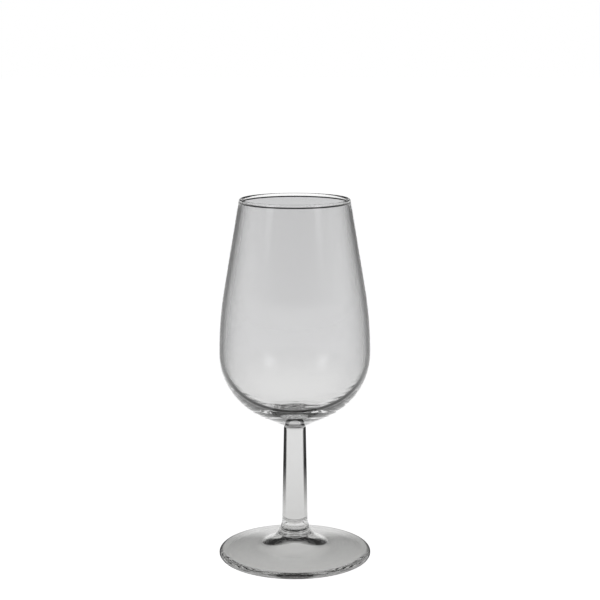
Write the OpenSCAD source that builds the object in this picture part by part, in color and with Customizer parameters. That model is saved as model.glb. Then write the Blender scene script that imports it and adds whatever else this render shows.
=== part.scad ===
// Wine tasting glass: a blown bowl, a drawn stem and a pressed foot, fused end to end.
// Millimetres, +Z up, origin at the centre of the foot on the table.

/* [Foot] */
// Diameter of the foot
foot_d = 65.4; // [58:0.1:74]
// Height of the weld between foot and stem above the table
foot_h = 10; // [9:0.1:11.5]
// Rounding radius of the foot's edge, which is twice this thick
edge_r = 1.5; // [1.1:0.05:1.8]
// Rise of the foot's upper face towards the stem, in degrees
foot_slope = 9; // [7:0.25:11]
// Width of the flat ring that the glass stands on
ring_w = 2.4; // [1.5:0.1:4]
// Height of the shallow hollow under the foot, without its dome
hollow_h = 2.5; // [1:0.1:3]
// Height of the dome under the stem above the table
dome_h = 7; // [5:0.1:8]
// Radius of the dome's round top
dome_r = 9; // [7:0.25:12]
// Radius of the curve that leads from the dome into the shallow hollow
dome_blend = 30; // [20:0.5:40]

/* [Stem] */
// Length of the stem from the foot's weld to the bowl's weld
stem_h = 47.2; // [35:0.1:65]
// Diameter of the stem at the bowl's weld
stem_top_d = 9.4; // [8:0.1:10.8]
// Diameter that the stem's taper reaches at the foot, before the flare
stem_base_d = 11.3; // [9.9:0.1:12.7]
// Radius of the flare that leads from the stem into the foot
flare_r = 11.5; // [9.5:0.25:13.5]

/* [Bowl] */
// Height of the bowl from its weld to the top of the rim
bowl_h = 97.8; // [85:0.1:112]
// Outer diameter of the rim
rim_d = 46.9; // [40:0.1:54]
// Outer diameter of the bowl at its widest
belly_d = 64.2; // [61:0.1:72]
// Height of the widest circle above the bowl's weld
belly_h = 32.6; // [30.5:0.1:34.5]
// Height above the widest circle where the wall's line would meet the belly's
shoulder_h = 13.8; // [9:0.1:19]
// Height above the weld at which the bowl's round would end without the cone under it
neck_h = 2.7; // [2:0.1:4]
// Radius of the fillet between the stem and the cone under the bowl
fillet_r = 1; // [0.6:0.1:1.6]
// Thickness of the wall
wall = 1.1; // [0.8:0.05:1.5]
// Thickness of the glass above the weld, under the middle of the hollow
base_t = 7.2; // [5.5:0.1:9.5]
// Diameter of the melted bead along the rim
bead_d = 1.5; // [1.4:0.05:2]

/* [Hidden] */
$fn = 180;
glass = [0.80, 0.83, 0.83, 0.45];

// Depth to which neighbouring curves run into each other, so that none only touch
sink = 0.004;
// Depth to which the piece that fills a blended corner reaches into its neighbours
lap = 0.5;

foot_r = foot_d / 2;
weld_r = stem_top_d / 2;
belly_r = belly_d / 2;
bead_r = bead_d / 2;
stem_top_z = foot_h + stem_h;

// Line of the foot's upper face: its outward normal and its distance from the origin
face_normal = [sin(foot_slope), cos(foot_slope)];
edge_centre = [foot_r - edge_r, edge_r - sink];
face_offset = edge_centre * face_normal + edge_r - sink;

// Line of the stem's side, given the same way
taper = atan((stem_base_d - stem_top_d) / 2 / stem_h);
side_normal = [cos(taper), sin(taper)];
side_offset = [weld_r, stem_top_z] * side_normal;

// Centre of the flare that rounds the corner between those two lines
flare_centre = line_crossing(face_normal, face_offset + flare_r, side_normal, side_offset + flare_r);

// Tilt of the bowl's straight wall, and the arc that leads from the belly into it
wall_tilt = atan((belly_r - rim_d / 2) / (bowl_h - bead_r - belly_h - shoulder_h));
shoulder_r = shoulder_h / tan(wall_tilt / 2);

// Round of the bowl's underside, the fillet at the weld, and the slope of the cone that touches both
round_r = belly_h - neck_h;
round_centre = [belly_r - round_r, belly_h];
fillet_centre = [weld_r + fillet_r, 0];
cone_slope = cross_tangent(fillet_centre, fillet_r - sink, round_centre, round_r - sink);
cone_normal = [-sin(cone_slope), cos(cone_slope)];

// Point where two lines cross, each given by its normal and its distance from the origin
function line_crossing(n1, d1, n2, d2) =
    let (det = n1.x * n2.y - n1.y * n2.x)
    [(d1 * n2.y - d2 * n1.y) / det, (n1.x * d2 - n2.x * d1) / det];

// Direction in degrees of the line that passes between two circles and touches both
function cross_tangent(c1, r1, c2, r2) =
    let (across = c2 - c1)
    atan2(across.y, across.x) - asin((r1 + r2) / norm(across));

// Centre of the circle of radius r that touches two circles on the axis, to the right of both
function blend_centre(y1, r1, y2, r2, r) =
    let (
        d1 = r1 + r,
        d2 = r2 + r,
        y = (d1 * d1 - d2 * d2 + y2 * y2 - y1 * y1) / (2 * (y2 - y1))
    )
    [sqrt(d2 * d2 - (y - y2) * (y - y2)), y];

// Point a given length from p on the way to q
function toward(p, q, length) = p + (q - p) / norm(q - p) * length;

// Half outline of stem and foot together: two lines, the flare between them and the round edge
module pedestal_half() {
    intersection() {
        union() {
            difference() {
                polygon([
                    [0, 0],
                    [edge_centre.x, 0],
                    edge_centre + (edge_r - sink) * face_normal,
                    flare_centre - flare_r * face_normal,
                    flare_centre,
                    flare_centre - flare_r * side_normal,
                    [weld_r, stem_top_z],
                    [0, stem_top_z]
                ]);
                translate(flare_centre)
                    circle(r = flare_r + sink);
            }
            translate(edge_centre)
                circle(r = edge_r);
        }
        square([foot_r, stem_top_z]);
    }
}

// Half outline of the hollow under the foot: a shallow ball, a round dome and the blend between them
module hollow_half() {
    reach = foot_r - edge_r - ring_w;
    ball_r = (reach * reach + hollow_h * hollow_h) / (2 * hollow_h);
    ball_y = hollow_h - ball_r;
    dome_y = dome_h - dome_r;
    blend = blend_centre(ball_y, ball_r, dome_y, dome_r, dome_blend);
    in_ball = toward(blend, [0, ball_y], dome_blend + lap);
    in_dome = toward(blend, [0, dome_y], dome_blend + lap);
    intersection() {
        union() {
            translate([0, ball_y])
                circle(r = ball_r, $fn = 720);
            translate([0, dome_y])
                circle(r = dome_r);
            difference() {
                polygon([[0, in_ball.y], in_ball, blend, in_dome, [0, in_dome.y]]);
                translate(blend)
                    circle(r = dome_blend + sink, $fn = 720);
            }
        }
        translate([0, -1])
            square([reach + 1, dome_h + 2]);
    }
}

// Half outline of the bowl set in from its outer face, from its lowest point to a level top
module egg_half(inset, low, top) {
    r = belly_r - inset;
    bottom_r = belly_h - low;
    arc_r = shoulder_r - inset;
    wall_foot = [r - arc_r, belly_h] + arc_r * [cos(wall_tilt), sin(wall_tilt)];
    top_r = wall_foot.x - (top - wall_foot.y) * tan(wall_tilt);
    intersection() {
        translate([r - bottom_r, belly_h])
            circle(r = bottom_r);
        square([r, belly_h]);
    }
    if (r > bottom_r) {
        translate([0, low])
            square([r - bottom_r, belly_h - low]);
    }
    intersection() {
        translate([r - arc_r, belly_h])
            circle(r = arc_r, $fn = 720);
        translate([0, belly_h])
            square([r, wall_foot.y + shoulder_h - belly_h]);
    }
    polygon([[0, wall_foot.y], [wall_foot.x - sink, wall_foot.y], [top_r, top], [0, top]]);
}

// Half outline of the neck: the fillet at the weld and the cone that runs into the round of the bowl
module neck_half() {
    cone_low = fillet_centre + (fillet_r - sink) * cone_normal;
    cone_high = round_centre - (round_r - sink) * cone_normal;
    difference() {
        polygon([[0, 0], fillet_centre, cone_low, cone_high, [0, cone_high.y]]);
        translate(fillet_centre)
            circle(r = fillet_r);
    }
}

module bowl() {
    color(glass)
        translate([0, 0, stem_top_z])
            rotate_extrude() {
                difference() {
                    union() {
                        egg_half(0, neck_h, bowl_h - bead_r);
                        neck_half();
                    }
                    egg_half(wall, base_t, bowl_h);
                }
                translate([rim_d / 2 - bead_r, bowl_h - bead_r])
                    circle(r = bead_r);
            }
}

module stem() {
    color(glass)
        rotate_extrude()
            intersection() {
                pedestal_half();
                translate([0, foot_h])
                    square([foot_r, stem_h]);
            }
}

module foot() {
    color(glass)
        rotate_extrude()
            difference() {
                intersection() {
                    pedestal_half();
                    square([foot_r, foot_h]);
                }
                hollow_half();
            }
}

bowl();
stem();
foot();
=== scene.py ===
import math

import bpy
import numpy as np
from bpy.props import FloatProperty, FloatVectorProperty, IntProperty, PointerProperty
from bpy.types import Operator, Panel, PropertyGroup
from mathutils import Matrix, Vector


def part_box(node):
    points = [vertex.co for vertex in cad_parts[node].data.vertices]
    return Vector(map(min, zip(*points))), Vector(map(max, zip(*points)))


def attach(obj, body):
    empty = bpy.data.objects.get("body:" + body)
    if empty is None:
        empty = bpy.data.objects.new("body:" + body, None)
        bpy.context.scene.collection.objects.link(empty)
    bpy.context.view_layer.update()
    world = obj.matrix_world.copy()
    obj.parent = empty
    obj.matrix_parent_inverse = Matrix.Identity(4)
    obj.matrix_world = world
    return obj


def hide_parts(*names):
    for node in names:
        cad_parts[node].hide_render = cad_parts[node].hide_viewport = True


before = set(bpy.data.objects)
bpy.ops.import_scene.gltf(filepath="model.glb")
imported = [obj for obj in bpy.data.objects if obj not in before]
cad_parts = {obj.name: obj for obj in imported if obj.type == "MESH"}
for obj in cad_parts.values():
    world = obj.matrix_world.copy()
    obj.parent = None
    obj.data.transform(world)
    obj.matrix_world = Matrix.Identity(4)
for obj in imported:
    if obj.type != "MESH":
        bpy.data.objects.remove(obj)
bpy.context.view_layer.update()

bl_info = {
    "name": "Wine tasting glass",
    "version": (1, 0, 0),
    "blender": (4, 5, 0),
    "location": "View3D > Sidebar > Tasting glass",
    "description": "Builds a wine tasting glass from bowl, stem and foot, on a pale studio floor",
    "category": "Object",
}

BODY = "root"

BOWL_LOW, BOWL_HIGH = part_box("bowl")
STEM_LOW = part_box("stem")[0]
FOOT_LOW, FOOT_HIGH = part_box("foot")

# Attributes of the meshes that the materials read. The weld is marked on faces. The shares on the
# points say how much of the tint, a painted shade, light takes up, and how dark painted shade turns
# the glass where it is seen edge on, where it is seen from inside and in the groove under the bead.
WELD = "weld"
TINT_SHADE_SHARE = "tint_shade_share"
EDGE_SHADE_SHARE = "edge_shade_share"
CORE_SHADE_SHARE = "core_shade_share"
GROOVE_SHADE_SHARE = "groove_painted_shade"
SHARES = (TINT_SHADE_SHARE, EDGE_SHADE_SHARE, CORE_SHADE_SHARE, GROOVE_SHADE_SHARE)

# Heights closer than this, in metres, are one level
SAME_LEVEL = 1e-7

# Points on each stretch of the outlines
WELD_DISC_POINTS = 6
FILLET_POINTS = 12
CONE_POINTS = 16
ROUND_POINTS = 72
SHOULDER_POINTS = 24
WALL_POINTS = 24
BEAD_POINTS = 28
BEAD_BLEND_POINTS = 10
BOWL_FLOOR_POINTS = 8
STEM_FLARE_POINTS = 32
STEM_SIDE_POINTS = 48
DOME_POINTS = 24
DOME_BLEND_POINTS = 32
HOLLOW_POINTS = 32
RING_POINTS = 4
FOOT_EDGE_POINTS = 40
FOOT_FACE_POINTS = 32
FOOT_FLARE_POINTS = 24

# Stops of the shares of painted shade: how far up the piece from 0 to 1, and the share there. The
# loss is the share of its painted edge shade that the bead gives up. The bead also keeps no tint,
# so it shows as a light line, a painted highlight.
BOWL_OUTSIDE_SHADE_STOPS = ((0.15, 0.0), (0.33, 0.48), (0.988, 0.65), (0.996, 0.2))
# Painted shade: dark line on faces seen from inside, strongest in the thick base
BOWL_CORE_SHADE_STOPS = ((0.2, 1.0), (0.4, 0.7), (0.96, 0.7), (0.98, 0.0))
# Painted shade: a dark ring in the groove under the bead
BOWL_GROOVE_SHADE_STOPS = ((0.9816, 0.0), (0.9822, 0.9), (0.9865, 0.9), (0.9885, 0.0))
# Painted highlight: the bead, kept clear of tint and of most edge shade
BOWL_BEAD_HIGHLIGHT_STOPS = ((0.984, 0.0), (0.988, 1.0))
BEAD_EDGE_SHADE_LOSS = 0.8
# Painted shade: the stem's tint, lifted in a narrow band low on the stem
STEM_TINT_SHADE_STOPS = ((0.095, 1.0), (0.12, 0.1), (0.14, 0.0), (0.158, 1.0))
STEM_EDGE_SHADE_STOPS = ((0.2, 0.1), (0.65, 0.85))

# Facing is 0 on a face seen straight on and 1 on a face seen edge on. In the first span of a pair
# the glass turns dark with painted shade, and in the second it turns clear again.
NEVER = (1.0, 1.1)
BOWL_OUTSIDE_SHADE_SPANS = ((0.17, 0.78), (0.8, 1.0))
BOWL_INSIDE_SHADE_SPANS = ((0.6, 1.0), NEVER)
BOWL_CORE_SHADE_SPANS = ((0.228, 0.246), (0.26, 0.28))
STEM_SHADE_SPANS = ((0.27, 0.42), NEVER)
FOOT_SHADE_SPANS = ((0.53, 0.89), NEVER)

# Levels between which the bowl's tint, a painted shade, changes from lighter at the base to darker
# towards the rim, as shares of the belly's height
BOWL_TINT_SHADE_LEVELS = (0.1, 1.05)

# Scale of the noise along x, y and z, per metre, and the core share over which ripples set in
WAVE_SCALE = (55.0, 55.0, 55.0)
RIPPLE_SCALE = (60.0, 60.0, 500.0)
RIPPLE_SPAN = (0.75, 1.0)

# Span and end values of a soft step that turns 0 into 1 and 1 into 0
UNIT, FALLING = (0.0, 1.0), (1.0, 0.0)

# Middle of a lamp's face in its own coordinates, and the distance from there to its nearest edges
LAMP_MIDDLE = (0.5, 0.5, 0.0)
LAMP_REACH = 0.5

WHITE = (1.0, 1.0, 1.0)
BLACK = (0.0, 0.0, 0.0)
SENSOR_MM = 36.0
CLIP_START = 0.01
LIGHT_BOUNCES = 32


class GlassSizes(PropertyGroup):
    """Sizes of the glass in metres. Those that the frame's boxes show come from the frame."""

    foot_d: FloatProperty(
        name="Foot", description="Diameter of the foot",
        default=FOOT_HIGH.x - FOOT_LOW.x, unit="LENGTH")
    foot_h: FloatProperty(
        name="Lower weld", description="Height of the weld between foot and stem",
        default=STEM_LOW.z, unit="LENGTH")
    edge_r: FloatProperty(
        name="Foot edge", description="Rounding radius of the foot's edge",
        default=0.0015, unit="LENGTH")
    foot_slope: FloatProperty(
        name="Foot slope", description="Rise of the foot's upper face towards the stem",
        default=math.radians(9.0), subtype="ANGLE")
    ring_w: FloatProperty(
        name="Standing ring", description="Width of the flat ring that the glass stands on",
        default=0.0024, unit="LENGTH")
    hollow_h: FloatProperty(
        name="Foot hollow",
        description="Height of the shallow hollow under the foot, without its dome",
        default=0.0025, unit="LENGTH")
    dome_h: FloatProperty(
        name="Dome", description="Height of the dome under the stem above the table",
        default=0.007, unit="LENGTH")
    dome_r: FloatProperty(
        name="Dome top", description="Radius of the dome's round top",
        default=0.009, unit="LENGTH")
    dome_blend: FloatProperty(
        name="Dome blend",
        description="Radius of the curve from the dome into the shallow hollow",
        default=0.030, unit="LENGTH")
    stem_top_d: FloatProperty(
        name="Stem top", description="Diameter of the stem at the upper weld",
        default=0.0094, unit="LENGTH")
    stem_base_d: FloatProperty(
        name="Stem base", description="Diameter that the stem's taper reaches at the lower weld",
        default=0.0113, unit="LENGTH")
    flare_r: FloatProperty(
        name="Flare", description="Radius of the flare from the stem into the foot",
        default=0.0115, unit="LENGTH")
    bowl_z: FloatProperty(
        name="Upper weld", description="Height of the weld between stem and bowl",
        default=BOWL_LOW.z, unit="LENGTH")
    rim_z: FloatProperty(
        name="Rim height", description="Height of the top of the rim",
        default=BOWL_HIGH.z, unit="LENGTH")
    rim_d: FloatProperty(
        name="Rim", description="Outer diameter of the rim",
        default=0.0469, unit="LENGTH")
    belly_d: FloatProperty(
        name="Belly", description="Outer diameter of the bowl at its widest",
        default=BOWL_HIGH.x - BOWL_LOW.x, unit="LENGTH")
    belly_h: FloatProperty(
        name="Belly height", description="Height of the widest circle above the upper weld",
        default=0.0326, unit="LENGTH")
    shoulder_h: FloatProperty(
        name="Shoulder",
        description="Height above the belly where the lines of wall and belly would meet",
        default=0.0138, unit="LENGTH")
    neck_h: FloatProperty(
        name="Neck",
        description="Height above the weld at which the bowl's round would end without its neck",
        default=0.0027, unit="LENGTH")
    fillet_r: FloatProperty(
        name="Weld fillet",
        description="Radius of the fillet between the stem and the cone under the bowl",
        default=0.001, unit="LENGTH")
    wall: FloatProperty(
        name="Wall", description="Thickness of the bowl's wall",
        default=0.0011, unit="LENGTH")
    base_t: FloatProperty(
        name="Base", description="Thickness of the glass above the weld, under the hollow",
        default=0.0072, unit="LENGTH")
    bead_d: FloatProperty(
        name="Rim bead", description="Diameter of the melted bead along the rim",
        default=0.0015, unit="LENGTH")
    bead_blend: FloatProperty(
        name="Bead blend",
        description="Radius of the groove where the bead runs into the inner wall",
        default=0.0008, unit="LENGTH")
    turns: IntProperty(
        name="Turns", description="Steps around the axis in bowl and stem", default=224, min=48)
    foot_turns: IntProperty(
        name="Foot turns", description="Steps around the axis in the foot", default=512, min=48)


class GlassFinish(PropertyGroup):
    """Colours and finish of the glass. The grey tint of each piece is painted shade, darker towards
    the bowl's rim and towards the foot, and the edge colour is the painted shade of dark edges. Light
    that enters a tinted face takes up the square root of its tint."""

    # The tints below are painted shade that greys the glass, darker towards the bowl's rim and the
    # foot
    rim_painted_shade: FloatVectorProperty(
        name="Rim tint", description="Tint of the bowl's inner face from the belly up to the rim",
        default=(0.338, 0.339, 0.345), subtype="COLOR", min=0.0, max=1.0)
    base_painted_shade: FloatVectorProperty(
        name="Base tint", description="Tint of the bowl's inner face near its base",
        default=(0.53, 0.53, 0.525), subtype="COLOR", min=0.0, max=1.0)
    stem_painted_shade: FloatVectorProperty(
        name="Stem tint", description="Tint of the stem at its top",
        default=(0.42, 0.42, 0.417), subtype="COLOR", min=0.0, max=1.0)
    stem_low_painted_shade: FloatVectorProperty(
        name="Stem low tint", description="Tint of the stem at its lower end",
        default=(0.29, 0.29, 0.283), subtype="COLOR", min=0.0, max=1.0)
    foot_painted_shade: FloatVectorProperty(
        name="Foot tint", description="Tint of the foot",
        default=(0.27, 0.27, 0.262), subtype="COLOR", min=0.0, max=1.0)
    # Painted shade: the dark colour that the glass takes at its edges
    edge_shade_colour: FloatVectorProperty(
        name="Edge tint", description="Colour of the glass where it turns dark",
        default=(0.001, 0.001, 0.001), subtype="COLOR", min=0.0, max=1.0)
    bowl_density: FloatProperty(
        name="Bowl density", description="Share of light that the bowl's glass takes, per metre",
        default=4.0)
    stem_density: FloatProperty(
        name="Stem density", description="Share of light that the stem's glass takes, per metre",
        default=1.0)
    foot_density: FloatProperty(
        name="Foot density", description="Share of light that the foot's glass takes, per metre",
        default=2.0)
    ior: FloatProperty(
        name="Refraction", description="Index of refraction of soda glass", default=1.52)
    wave_height: FloatProperty(
        name="Waves", description="Height of the slight waves in the face of bowl and stem",
        default=0.000003, unit="LENGTH")
    ripple_height: FloatProperty(
        name="Ripples", description="Height of the level ripples in the bowl's thick base",
        default=0.00015, unit="LENGTH")


class GlassStage(PropertyGroup):
    """Camera, floor and light around the glass."""

    camera_place: FloatVectorProperty(
        name="Camera", description="Place of the camera",
        default=(0.0022, -0.644, 0.2267), subtype="TRANSLATION", unit="LENGTH")
    camera_dip: FloatProperty(
        name="Camera dip", description="Angle at which the camera looks down",
        default=math.radians(10.094), subtype="ANGLE")
    focal_mm: FloatProperty(
        name="Focal length", description="Focal length of the lens in mm on a 36 mm sensor",
        default=93.0)
    floor_side: FloatProperty(
        name="Floor", description="Length of the floor's sides", default=12.0, unit="LENGTH")
    floor_gap: FloatProperty(
        name="Floor gap", description="Gap between the standing ring and the floor",
        default=0.0001, unit="LENGTH")
    floor_tint: FloatVectorProperty(
        name="Floor tint", description="Colour of the floor in the light of the lamps",
        default=(0.6, 0.6, 0.6), subtype="COLOR", min=0.0, max=1.0)
    pool_near: FloatProperty(
        name="Pool",
        description="Distance from the glass up to which the floor shows pure white",
        default=0.15, unit="LENGTH")
    pool_far: FloatProperty(
        name="Pool end",
        description="Distance from the glass at which the floor's white has faded",
        default=0.9, unit="LENGTH")
    pool_fade: FloatProperty(
        name="Pool fade", description="Share of white that the floor keeps far from the glass",
        default=0.99)
    backdrop_top: FloatProperty(
        name="Backdrop", description="Angle above the horizon up to which the backdrop is white",
        default=math.radians(3.0), subtype="ANGLE")
    room_start: FloatProperty(
        name="Room", description="Angle above the horizon at which the dim room starts",
        default=math.radians(13.0), subtype="ANGLE")
    room_light: FloatProperty(
        name="Room light", description="Brightness of the dim room", default=0.05)
    softbox_left: FloatProperty(
        name="Left softbox",
        description="Angle around the glass, from the camera's side to the left softbox",
        default=math.radians(-52.0), subtype="ANGLE")
    softbox_right: FloatProperty(
        name="Right softbox",
        description="Angle around the glass, from the camera's side to the right softbox",
        default=math.radians(48.0), subtype="ANGLE")
    softbox_rise: FloatProperty(
        name="Softbox rise", description="Angle of the softboxes above the bowl's middle",
        default=math.radians(27.0), subtype="ANGLE")
    softbox_gap: FloatProperty(
        name="Softbox distance", description="Distance of the softboxes from the bowl's middle",
        default=1.2, unit="LENGTH")
    softbox_w: FloatProperty(
        name="Softbox width", description="Width of the softboxes", default=0.7, unit="LENGTH")
    softbox_h: FloatProperty(
        name="Softbox height", description="Height of the softboxes", default=0.9, unit="LENGTH")
    softbox_power: FloatProperty(
        name="Softbox power", description="Power of each softbox", default=6.0, unit="POWER")
    aim_z: FloatProperty(
        name="Aim", description="Height of the bowl's middle, at which the softboxes are aimed",
        default=0.11, unit="LENGTH")


def arc(centre, radius, start, end, count):
    """Points on a circle around centre, from the start angle to the end angle in even steps."""
    angle = np.linspace(start, end, count)
    return np.column_stack([centre[0] + radius * np.cos(angle), centre[1] + radius * np.sin(angle)])


def line(start, end, count):
    """Points on a straight line from start to end in even steps."""
    share = np.linspace(0.0, 1.0, count)[:, None]
    return (1.0 - share) * np.asarray(start, float) + share * np.asarray(end, float)


def direction(angle):
    """Unit vector at an angle from the radial axis towards +Z."""
    return np.array([math.cos(angle), math.sin(angle)])


def angle_of(vector):
    """Angle of a vector from the radial axis, from 0 to a full turn."""
    return math.atan2(vector[1], vector[0]) % math.tau


def crossing(normal_a, offset_a, normal_b, offset_b):
    """Point where two lines cross, each given by its normal and its distance from the origin."""
    return np.linalg.solve(np.array([normal_a, normal_b]), np.array([offset_a, offset_b]))


def outline(*stretches):
    """Joins stretches end to end into one outline and leaves out each repeated end point."""
    return np.vstack([stretches[0]] + [stretch[1:] for stretch in stretches[1:]])


def bowl_outline(s):
    """Half outline of the bowl, from the middle of the weld round the outside and inside to the
    middle of its floor. Outside it is a weld disc, a fillet, a cone that runs into a round, a
    shoulder arc and a straight wall. Then come the rim's bead and the groove under it, and inside
    the same wall, shoulder and round set in by the wall's thickness. The cone touches fillet and
    round: it turns from the line between their centres by the angle whose sine is the sum of both
    radii over the distance."""
    belly_r, rim_r, bead_r, weld_r = s.belly_d / 2, s.rim_d / 2, s.bead_d / 2, s.stem_top_d / 2
    belly_z = s.bowl_z + s.belly_h
    bead_c = np.array([rim_r - bead_r, s.rim_z - bead_r])
    tilt = math.atan2(belly_r - rim_r, bead_c[1] - belly_z - s.shoulder_h)
    shoulder_r = s.shoulder_h / math.tan(tilt / 2)
    shoulder_c = np.array([belly_r - shoulder_r, belly_z])

    round_r = s.belly_h - s.neck_h
    round_c = np.array([belly_r - round_r, belly_z])
    fillet_c = np.array([weld_r + s.fillet_r, s.bowl_z])
    across = round_c - fillet_c
    turn = math.asin((round_r + s.fillet_r) / np.linalg.norm(across))
    lean = angle_of(across) - turn + math.pi / 2

    blend_reach = s.wall - bead_r + s.bead_blend
    blend_drop = math.sqrt((bead_r + s.bead_blend) ** 2 - blend_reach ** 2)
    inward, upward = -direction(tilt), direction(tilt + math.pi / 2)
    blend_c = bead_c + blend_reach * inward - blend_drop * upward
    bead_end = angle_of(blend_c - bead_c)

    inner_r = shoulder_r - s.wall
    floor_r = s.belly_h - s.base_t
    floor_c = np.array([belly_r - s.wall - floor_r, belly_z])
    floor_z = s.bowl_z + s.base_t
    return outline(
        line((0, s.bowl_z), (weld_r, s.bowl_z), WELD_DISC_POINTS),
        arc(fillet_c, s.fillet_r, math.pi, lean, FILLET_POINTS),
        line(fillet_c + s.fillet_r * direction(lean), round_c - round_r * direction(lean),
             CONE_POINTS),
        arc(round_c, round_r, lean - math.pi, 0.0, ROUND_POINTS),
        arc(shoulder_c, shoulder_r, 0.0, tilt, SHOULDER_POINTS),
        line(shoulder_c + shoulder_r * direction(tilt), bead_c + bead_r * direction(tilt),
             WALL_POINTS),
        arc(bead_c, bead_r, tilt, bead_end, BEAD_POINTS),
        arc(blend_c, s.bead_blend, bead_end - math.pi, tilt, BEAD_BLEND_POINTS),
        line(blend_c + s.bead_blend * direction(tilt), shoulder_c + inner_r * direction(tilt),
             WALL_POINTS),
        arc(shoulder_c, inner_r, tilt, 0.0, SHOULDER_POINTS),
        arc(floor_c, floor_r, 0.0, -math.pi / 2, ROUND_POINTS),
        line((floor_c[0], floor_z), (0, floor_z), BOWL_FLOOR_POINTS),
    )


def pedestal_lines(s):
    """Normals of the foot's upper face and the stem's side, the edge's centre and the flare's
    centre, which lies the flare's radius away from both lines."""
    face_n = direction(math.pi / 2 - s.foot_slope)
    edge_c = np.array([s.foot_d / 2 - s.edge_r, s.edge_r])
    taper = math.atan2((s.stem_base_d - s.stem_top_d) / 2, s.bowl_z - s.foot_h)
    side_n = direction(taper)
    face_offset = edge_c @ face_n + s.edge_r
    side_offset = np.array([s.stem_top_d / 2, s.bowl_z]) @ side_n
    flare_c = crossing(face_n, face_offset + s.flare_r, side_n, side_offset + s.flare_r)
    return face_n, side_n, edge_c, flare_c


def lower_weld(s, flare_c):
    """Angle on the flare at which the lower weld cuts it, and the point there. The sine of the angle
    past half a turn is the drop from the flare's centre over its radius."""
    weld_angle = math.pi + math.asin((flare_c[1] - s.foot_h) / s.flare_r)
    return weld_angle, flare_c + s.flare_r * direction(weld_angle)


def stem_outline(s):
    """Half outline of the stem: the lower weld disc, the flare, the tapered side and the upper weld
    disc."""
    _, side_n, _, flare_c = pedestal_lines(s)
    weld_angle, weld = lower_weld(s, flare_c)
    top = (s.stem_top_d / 2, s.bowl_z)
    return outline(
        line((0, s.foot_h), weld, WELD_DISC_POINTS),
        arc(flare_c, s.flare_r, weld_angle, math.pi + angle_of(side_n), STEM_FLARE_POINTS),
        line(flare_c - s.flare_r * side_n, top, STEM_SIDE_POINTS),
        line(top, (0, s.bowl_z), WELD_DISC_POINTS),
    )


def foot_outline(s):
    """Half outline of the foot: under it the round dome, its blend and the shallow part of a ball,
    then the standing ring, the round edge, the sloping face, the start of the flare and the weld
    disc. The blend's centre lies the two radii away from the centres of dome and ball."""
    face_n, _, edge_c, flare_c = pedestal_lines(s)
    reach = edge_c[0] - s.ring_w
    ball_r = (reach ** 2 + s.hollow_h ** 2) / (2 * s.hollow_h)
    ball_c = np.array([0.0, s.hollow_h - ball_r])
    dome_c = np.array([0.0, s.dome_h - s.dome_r])
    from_ball, from_dome = ball_r + s.dome_blend, s.dome_r + s.dome_blend
    gap = dome_c[1] - ball_c[1]
    blend_z = (from_ball ** 2 - from_dome ** 2 + dome_c[1] ** 2 - ball_c[1] ** 2) / (2 * gap)
    blend_c = np.array([math.sqrt(from_dome ** 2 - (blend_z - dome_c[1]) ** 2), blend_z])
    dome_end, ball_start = angle_of(blend_c - dome_c), angle_of(blend_c - ball_c)
    weld_angle, weld = lower_weld(s, flare_c)
    return outline(
        arc(dome_c, s.dome_r, math.pi / 2, dome_end, DOME_POINTS),
        arc(blend_c, s.dome_blend, dome_end + math.pi, ball_start + math.pi, DOME_BLEND_POINTS),
        arc(ball_c, ball_r, ball_start, math.acos(reach / ball_r), HOLLOW_POINTS),
        line((reach, 0), (edge_c[0], 0), RING_POINTS),
        arc(edge_c, s.edge_r, -math.pi / 2, angle_of(face_n), FOOT_EDGE_POINTS),
        line(edge_c + s.edge_r * face_n, flare_c - s.flare_r * face_n, FOOT_FACE_POINTS),
        arc(flare_c, s.flare_r, math.pi + angle_of(face_n), weld_angle, FOOT_FLARE_POINTS),
        line(weld, (0, s.foot_h), WELD_DISC_POINTS),
    )


def along(rise, stops):
    """Share at each rise, on straight lines between stops that are each a rise and its share."""
    at, share = zip(*stops)
    return np.interp(rise, at, share)


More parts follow.
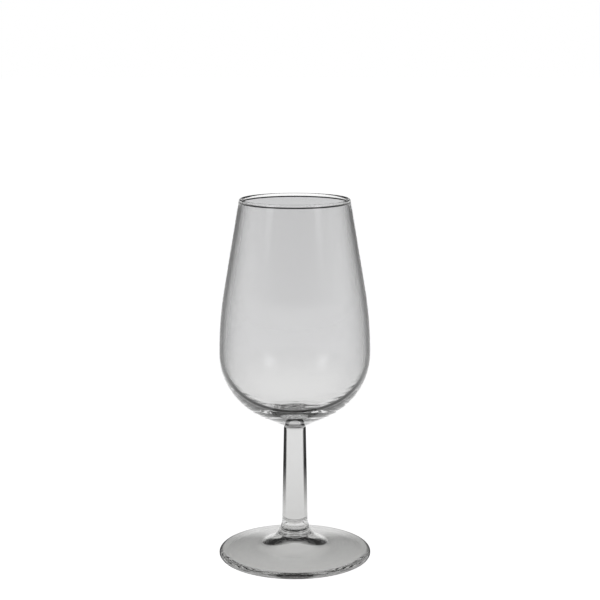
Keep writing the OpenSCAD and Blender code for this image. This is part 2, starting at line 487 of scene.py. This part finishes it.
def revolved_mesh(name, half, turns, weld_levels, shares):
    """Mesh of a half outline turned about +Z: point (r, z) at angle a lies at (r cos a, r sin a, z).
    Its two ends lie on the axis and close the surface. Faces on a weld level are flat and marked,
    and each point keeps the shares that the material reads, which are 0 where none are given."""
    rings = half[1:-1]
    angle = np.arange(turns) * (math.tau / turns)
    x = rings[:, :1] * np.cos(angle)
    y = rings[:, :1] * np.sin(angle)
    z = np.repeat(rings[:, 1:], turns, axis=1)
    points = np.vstack([
        np.stack([x, y, z], axis=-1).reshape(-1, 3),
        [[0.0, 0.0, half[0, 1]], [0.0, 0.0, half[-1, 1]]],
    ])
    index = np.arange(len(rings) * turns).reshape(len(rings), turns)
    onward = np.roll(index, -1, axis=1)
    quads = np.stack([index[:-1], onward[:-1], onward[1:], index[1:]], axis=-1).reshape(-1, 4)
    first, last = len(points) - 2, len(points) - 1
    start = np.column_stack([np.full(turns, first), onward[0], index[0]])
    finish = np.column_stack([index[-1], onward[-1], np.full(turns, last)])
    mesh = bpy.data.meshes.new(name)
    mesh.from_pydata(points.tolist(), [], quads.tolist() + start.tolist() + finish.tolist())

    band_start = np.concatenate([half[1:-2, 1], half[:1, 1], half[-2:-1, 1]])
    band_end = np.concatenate([half[2:-1, 1], half[1:2, 1], half[-1:, 1]])
    starts_on = np.abs(band_start[:, None] - weld_levels) < SAME_LEVEL
    ends_on = np.abs(band_end[:, None] - weld_levels) < SAME_LEVEL
    on_weld = np.repeat((starts_on & ends_on).any(axis=1), turns)
    mesh.polygons.foreach_set("use_smooth", ~on_weld)
    weld = mesh.attributes.new(WELD, "FLOAT", "FACE")
    weld.data.foreach_set("value", on_weld.astype(np.float32))
    for label in SHARES:
        share = np.broadcast_to(shares.get(label, 0.0), len(half))
        per_point = np.concatenate([np.repeat(share[1:-1], turns), share[:1], share[-1:]])
        attribute = mesh.attributes.new(label, "FLOAT", "POINT")
        attribute.data.foreach_set("value", per_point.astype(np.float32))
    mesh.update()
    return mesh


def soft_step(nodes, links, value, span, ends=(0.0, 1.0)):
    """Socket that goes softly from one end value to the other while the given socket crosses a
    span."""
    node = nodes.new("ShaderNodeMapRange")
    node.interpolation_type = "SMOOTHSTEP"
    node.inputs["From Min"].default_value, node.inputs["From Max"].default_value = span
    node.inputs["To Min"].default_value, node.inputs["To Max"].default_value = ends
    links.new(value, node.inputs["Value"])
    return node.outputs["Result"]


def combine(nodes, links, operation, first, second):
    """Socket that combines two others by one operation and stays from 0 to 1."""
    node = nodes.new("ShaderNodeMath")
    node.operation = operation
    node.use_clamp = True
    links.new(first, node.inputs[0])
    links.new(second, node.inputs[1])
    return node.outputs[0]


def between(nodes, links, factor, first, second):
    """Socket that goes from one number socket to another with the factor."""
    node = nodes.new("ShaderNodeMix")
    links.new(factor, node.inputs["Factor"])
    links.new(first, node.inputs["A"])
    links.new(second, node.inputs["B"])
    return node.outputs["Result"]


def colour_between(nodes, links, factor, first, second):
    """Socket that goes from one colour to another with the factor. Each of the two is a colour or a
    socket."""
    node = nodes.new("ShaderNodeMix")
    node.data_type = "RGBA"
    links.new(factor, node.inputs["Factor"])
    for end, colour in ((node.inputs["A"], first), (node.inputs["B"], second)):
        if isinstance(colour, bpy.types.NodeSocket):
            links.new(colour, end)
        else:
            end.default_value = (*colour, 1.0)
    return node.outputs["Result"]


def own_value(nodes, name):
    """Socket with an attribute of the mesh."""
    node = nodes.new("ShaderNodeAttribute")
    node.attribute_name = name
    return node.outputs["Fac"]


def painted_shade_band(nodes, links, facing, spans):
    """Socket of painted shade that rises to 1 while the facing crosses the first span and falls back
    while it crosses the second."""
    darker, clearer = [soft_step(nodes, links, facing, span) for span in spans]
    return combine(nodes, links, "SUBTRACT", darker, clearer)


def noise_height(nodes, links, place, scale, height):
    """Socket with soft noise of a given height in metres, with its own scale along each axis."""
    stretch = nodes.new("ShaderNodeVectorMath")
    stretch.operation = "MULTIPLY"
    stretch.inputs[1].default_value = scale
    links.new(place, stretch.inputs[0])
    noise = nodes.new("ShaderNodeTexNoise")
    noise.inputs["Scale"].default_value = 1.0
    noise.inputs["Detail"].default_value = 1.0
    links.new(stretch.outputs["Vector"], noise.inputs["Vector"])
    tall = nodes.new("ShaderNodeMath")
    tall.operation = "MULTIPLY"
    tall.inputs[1].default_value = height
    links.new(noise.outputs["Fac"], tall.inputs[0])
    return tall.outputs[0]


def glass_material(name, finish, tint_shades, levels, spans, density, wave_height, ripple_height):
    """Clear glass with a grey tint, painted shade, that goes from one colour to another between two
    levels, and is taken up where light enters a tinted face. Painted shade turns it dark where it is
    seen edge on, where light inside it just fails to leave it, and in the groove under the bead. The
    spans are pairs for clear faces, for tinted faces and for faces seen from inside. The glass is
    slightly wavy, with ripples where it is thick, and nothing shows at its welds."""
    material = bpy.data.materials.new(name)
    material.use_nodes = True
    nodes, links = material.node_tree.nodes, material.node_tree.links
    shader = nodes["Principled BSDF"]
    shader.inputs["IOR"].default_value = finish.ior
    shader.inputs["Roughness"].default_value = 0.0
    shader.inputs["Specular IOR Level"].default_value = 0.0

    place = nodes.new("ShaderNodeTexCoord").outputs["Object"]
    axes = nodes.new("ShaderNodeSeparateXYZ")
    links.new(place, axes.inputs[0])
    from_inside = nodes.new("ShaderNodeNewGeometry").outputs["Backfacing"]
    facing = nodes.new("ShaderNodeLayerWeight").outputs["Facing"]
    # The tint share carries painted shade
    tinted = own_value(nodes, TINT_SHADE_SHARE)
    # The core share carries painted shade, and also marks the thick base, where ripples set in
    thick = own_value(nodes, CORE_SHADE_SHARE)

    # Painted shade where the glass is seen edge on, and on faces seen from inside
    clear_edge_shade, tinted_edge_shade, core_edge_shade = [painted_shade_band(nodes, links, facing, pair) for pair in spans]
    edge = between(nodes, links, tinted, clear_edge_shade, tinted_edge_shade)
    edge = combine(nodes, links, "MULTIPLY", edge, own_value(nodes, EDGE_SHADE_SHARE))
    core_shade = combine(nodes, links, "MULTIPLY", core_edge_shade, thick)
    dark = between(nodes, links, from_inside, edge, core_shade)
    # Painted shade: a dark line in the groove under the bead, whatever the facing
    dark = combine(nodes, links, "ADD", dark, own_value(nodes, GROOVE_SHADE_SHARE))
    clear = soft_step(nodes, links, dark, UNIT, FALLING)
    links.new(clear, shader.inputs["Transmission Weight"])

    # Painted shade: the grey tint changes with height, darker towards the bowl's rim and the stem's
    # lower end
    height = soft_step(nodes, links, axes.outputs["Z"], levels)
    tint = colour_between(nodes, links, height, *tint_shades)
    entering = combine(nodes, links, "SUBTRACT", tinted, from_inside)
    colour = colour_between(nodes, links, entering, WHITE, tint)
    # Painted shade: the colour goes to the dark edge colour where the glass turns dark
    colour = colour_between(nodes, links, dark, colour, finish.edge_shade_colour)
    links.new(colour, shader.inputs["Base Color"])

    waves = noise_height(nodes, links, place, WAVE_SCALE, wave_height)
    ripples = noise_height(nodes, links, place, RIPPLE_SCALE, ripple_height)
    setting_in = soft_step(nodes, links, thick, RIPPLE_SPAN)
    ripples = combine(nodes, links, "MULTIPLY", ripples, setting_in)
    bump = nodes.new("ShaderNodeBump")
    bump.inputs["Strength"].default_value = 1.0
    bump.inputs["Distance"].default_value = 1.0
    links.new(combine(nodes, links, "ADD", waves, ripples), bump.inputs["Height"])
    links.new(bump.outputs["Normal"], shader.inputs["Normal"])

    off_weld = soft_step(nodes, links, own_value(nodes, WELD), UNIT, FALLING)
    links.new(off_weld, shader.inputs["Alpha"])
    body = nodes.new("ShaderNodeVolumeAbsorption")
    body.inputs["Color"].default_value = (*BLACK, 1.0)
    body.inputs["Density"].default_value = density
    links.new(body.outputs["Volume"], nodes["Material Output"].inputs["Volume"])
    return material


def add_piece(context, name, mesh, material):
    """Puts a finished mesh in the scene in place of the CAD node of the same name."""
    piece = bpy.data.objects.new(name + "_piece", mesh)
    context.scene.collection.objects.link(piece)
    mesh.materials.append(material)
    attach(piece, BODY)
    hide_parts(name)


class TASTINGGLASS_OT_bowl(Operator):
    """Build the blown bowl with its beaded rim and thick base"""

    bl_idname = "tasting_glass.bowl"
    bl_label = "Build bowl"

    def execute(self, context):
        sizes, finish = context.scene.glass_sizes, context.scene.glass_finish
        half = bowl_outline(sizes)
        inside = np.arange(len(half)) > half[:, 1].argmax()
        rise = (half[:, 1] - sizes.bowl_z) / (sizes.rim_z - sizes.bowl_z)
        # Painted highlight: the bead keeps no tint and gives up most of its edge shade, so it shows
        # light
        bead = along(rise, BOWL_BEAD_HIGHLIGHT_STOPS)
        inner_edge_shade, outer_edge_shade = 1.0 - BEAD_EDGE_SHADE_LOSS * bead, along(rise, BOWL_OUTSIDE_SHADE_STOPS)
        shares = {
            TINT_SHADE_SHARE: np.where(inside, 1.0 - bead, 0.0),
            EDGE_SHADE_SHARE: np.where(inside, inner_edge_shade, outer_edge_shade),
            CORE_SHADE_SHARE: np.where(inside, along(rise, BOWL_CORE_SHADE_STOPS), 0.0),
            GROOVE_SHADE_SHARE: np.where(inside, along(rise, BOWL_GROOVE_SHADE_STOPS), 0.0),
        }
        mesh = revolved_mesh("bowl_mesh", half, sizes.turns, [sizes.bowl_z], shares)
        glass = glass_material(
            "bowl_glass", finish,
            tint_shades=(finish.base_painted_shade, finish.rim_painted_shade),
            levels=[sizes.bowl_z + level * sizes.belly_h for level in BOWL_TINT_SHADE_LEVELS],
            spans=(BOWL_OUTSIDE_SHADE_SPANS, BOWL_INSIDE_SHADE_SPANS, BOWL_CORE_SHADE_SPANS),
            density=finish.bowl_density,
            wave_height=finish.wave_height, ripple_height=finish.ripple_height)
        add_piece(context, "bowl", mesh, glass)
        return {"FINISHED"}


class TASTINGGLASS_OT_stem(Operator):
    """Build the drawn stem with its flare"""

    bl_idname = "tasting_glass.stem"
    bl_label = "Build stem"

    def execute(self, context):
        sizes, finish = context.scene.glass_sizes, context.scene.glass_finish
        half = stem_outline(sizes)
        rise = (half[:, 1] - sizes.foot_h) / (sizes.bowl_z - sizes.foot_h)
        # Shares of painted shade: the tint lifts in a narrow band low on the stem, and the edge shade
        # grows upwards
        shares = {
            TINT_SHADE_SHARE: along(rise, STEM_TINT_SHADE_STOPS),
            EDGE_SHADE_SHARE: along(rise, STEM_EDGE_SHADE_STOPS),
        }
        mesh = revolved_mesh("stem_mesh", half, sizes.turns, [sizes.foot_h, sizes.bowl_z], shares)
        glass = glass_material(
            "stem_glass", finish,
            tint_shades=(finish.stem_low_painted_shade, finish.stem_painted_shade),
            levels=(sizes.foot_h, sizes.bowl_z),
            spans=(STEM_SHADE_SPANS, STEM_SHADE_SPANS, STEM_SHADE_SPANS),
            density=finish.stem_density,
            wave_height=finish.wave_height, ripple_height=0.0)
        add_piece(context, "stem", mesh, glass)
        return {"FINISHED"}


class TASTINGGLASS_OT_foot(Operator):
    """Build the pressed foot with its hollow underside"""

    bl_idname = "tasting_glass.foot"
    bl_label = "Build foot"

    def execute(self, context):
        sizes, finish = context.scene.glass_sizes, context.scene.glass_finish
        half = foot_outline(sizes)
        round_edge = half[:, 0] > sizes.foot_d / 2 - sizes.edge_r
        # Painted shade: the whole foot is tinted, and only its round edge turns dark edge on
        shares = {TINT_SHADE_SHARE: 1.0, EDGE_SHADE_SHARE: np.where(round_edge, 1.0, 0.0)}
        mesh = revolved_mesh("foot_mesh", half, sizes.foot_turns, [sizes.foot_h], shares)
        glass = glass_material(
            "foot_glass", finish,
            tint_shades=(finish.foot_painted_shade, finish.foot_painted_shade),
            levels=(0.0, sizes.foot_h),
            spans=(FOOT_SHADE_SPANS, FOOT_SHADE_SPANS, FOOT_SHADE_SPANS),
            density=finish.foot_density,
            wave_height=0.0, ripple_height=0.0)
        add_piece(context, "foot", mesh, glass)
        return {"FINISHED"}


def seen_directly(nodes, links):
    """Socket that is 1 for rays that show a background: straight to the camera, or by gloss or
    glass."""
    path = nodes.new("ShaderNodeLightPath").outputs
    seen = path["Is Camera Ray"]
    for kind in ("Is Glossy Ray", "Is Transmission Ray"):
        seen = combine(nodes, links, "ADD", seen, path[kind])
    return seen


def floor_material(stage):
    """Pale floor: a white pool around the glass that fades a little outwards and takes its shadow."""
    material = bpy.data.materials.new("pale_floor")
    material.use_nodes = True
    nodes, links = material.node_tree.nodes, material.node_tree.links
    shader = nodes["Principled BSDF"]
    shader.inputs["Base Color"].default_value = (*stage.floor_tint, 1.0)
    shader.inputs["Roughness"].default_value = 1.0
    shader.inputs["Specular IOR Level"].default_value = 0.0
    shader.inputs["Emission Color"].default_value = (*WHITE, 1.0)
    reach = nodes.new("ShaderNodeVectorMath")
    reach.operation = "LENGTH"
    links.new(nodes.new("ShaderNodeTexCoord").outputs["Object"], reach.inputs[0])
    span = (stage.pool_near, stage.pool_far)
    pool = soft_step(nodes, links, reach.outputs["Value"], span, (1.0, stage.pool_fade))
    glow = combine(nodes, links, "MULTIPLY", pool, seen_directly(nodes, links))
    links.new(glow, shader.inputs["Emission Strength"])
    return material


def studio_world(stage):
    """White backdrop up to a little above the horizon, and a dim room overhead. The height of a unit
    vector is the sine of its angle above the horizon."""
    world = bpy.data.worlds.new("studio")
    world.use_nodes = True
    nodes, links = world.node_tree.nodes, world.node_tree.links
    background = nodes["Background"]
    background.inputs["Color"].default_value = (*WHITE, 1.0)
    axes = nodes.new("ShaderNodeSeparateXYZ")
    links.new(nodes.new("ShaderNodeTexCoord").outputs["Generated"], axes.inputs[0])
    span = (math.sin(stage.backdrop_top), math.sin(stage.room_start))
    room = soft_step(nodes, links, axes.outputs["Z"], span, (1.0, stage.room_light))
    links.new(room, background.inputs["Strength"])
    return world


def softbox(context, name, azimuth):
    """Area light at an azimuth around the glass, turned towards the bowl's middle, that fades out to
    its edges. Its direction has the sine of its rise as height and the cosine as level length."""
    stage = context.scene.glass_stage
    light = bpy.data.lights.new(name, "AREA")
    light.use_nodes = True
    nodes, links = light.node_tree.nodes, light.node_tree.links
    from_middle = nodes.new("ShaderNodeVectorMath")
    from_middle.operation = "DISTANCE"
    from_middle.inputs[1].default_value = LAMP_MIDDLE
    links.new(nodes.new("ShaderNodeNewGeometry").outputs["Parametric"], from_middle.inputs[0])
    fading = soft_step(nodes, links, from_middle.outputs["Value"], (0.0, LAMP_REACH), FALLING)
    links.new(fading, nodes["Emission"].inputs["Strength"])
    light.shape = "RECTANGLE"
    light.size = stage.softbox_w
    light.size_y = stage.softbox_h
    light.energy = stage.softbox_power

    lamp = bpy.data.objects.new(name, light)
    rise = stage.softbox_rise
    level = math.cos(rise)
    away = np.array([math.sin(azimuth) * level, -math.cos(azimuth) * level, math.sin(rise)])
    lamp.location = np.array([0.0, 0.0, stage.aim_z]) + stage.softbox_gap * away
    lamp.rotation_euler = (math.pi / 2 - rise, 0.0, azimuth)
    lamp.visible_camera = False
    context.scene.collection.objects.link(lamp)


class TASTINGGLASS_OT_stage(Operator):
    """Set the floor, the light and the camera around the glass"""

    bl_idname = "tasting_glass.stage"
    bl_label = "Set stage"

    def execute(self, context):
        scene, stage = context.scene, context.scene.glass_stage
        half = stage.floor_side / 2
        mesh = bpy.data.meshes.new("floor_mesh")
        corners = [(-half, -half), (half, -half), (half, half), (-half, half)]
        mesh.from_pydata([(x, y, -stage.floor_gap) for x, y in corners], [], [(0, 1, 2, 3)])
        mesh.materials.append(floor_material(stage))
        floor = bpy.data.objects.new("floor", mesh)
        scene.collection.objects.link(floor)

        scene.world = studio_world(stage)
        softbox(context, "softbox_left", stage.softbox_left)
        softbox(context, "softbox_right", stage.softbox_right)

        lens = bpy.data.cameras.new("camera")
        lens.lens = stage.focal_mm
        lens.sensor_width = SENSOR_MM
        lens.clip_start = CLIP_START
        camera = bpy.data.objects.new("camera", lens)
        camera.location = stage.camera_place
        camera.rotation_euler = (math.pi / 2 - stage.camera_dip, 0.0, 0.0)
        scene.collection.objects.link(camera)
        scene.camera = camera
        scene.view_settings.view_transform = "Standard"
        scene.cycles.max_bounces = LIGHT_BOUNCES
        scene.cycles.transmission_bounces = LIGHT_BOUNCES
        scene.cycles.glossy_bounces = LIGHT_BOUNCES
        return {"FINISHED"}


class TASTINGGLASS_PT_panel(Panel):
    """Lists the steps that build the glass and the values that they use"""

    bl_label = "Tasting glass"
    bl_space_type = "VIEW_3D"
    bl_region_type = "UI"
    bl_category = "Tasting glass"

    def draw(self, context):
        layout = self.layout
        for step in STEPS:
            layout.operator(step.bl_idname)
        for name, group in GROUPS.items():
            box = layout.box()
            for value in group.__annotations__:
                box.prop(getattr(context.scene, name), value)


STEPS = (
    TASTINGGLASS_OT_bowl, TASTINGGLASS_OT_stem, TASTINGGLASS_OT_foot, TASTINGGLASS_OT_stage)
GROUPS = {"glass_sizes": GlassSizes, "glass_finish": GlassFinish, "glass_stage": GlassStage}
CLASSES = (*GROUPS.values(), *STEPS, TASTINGGLASS_PT_panel)


def register():
    """Registers the classes and hangs the groups of values on the scene."""
    for cls in CLASSES:
        bpy.utils.register_class(cls)
    for name, group in GROUPS.items():
        setattr(bpy.types.Scene, name, PointerProperty(type=group))


def unregister():
    """Takes the groups of values off the scene and unregisters the classes."""
    for name in GROUPS:
        delattr(bpy.types.Scene, name)
    for cls in reversed(CLASSES):
        bpy.utils.unregister_class(cls)


def main():
    """Registers the steps, and builds the pieces and the stage in order."""
    register()
    bpy.ops.tasting_glass.bowl()
    bpy.ops.tasting_glass.stem()
    bpy.ops.tasting_glass.foot()
    bpy.ops.tasting_glass.stage()


if __name__ == "__main__":
    main()
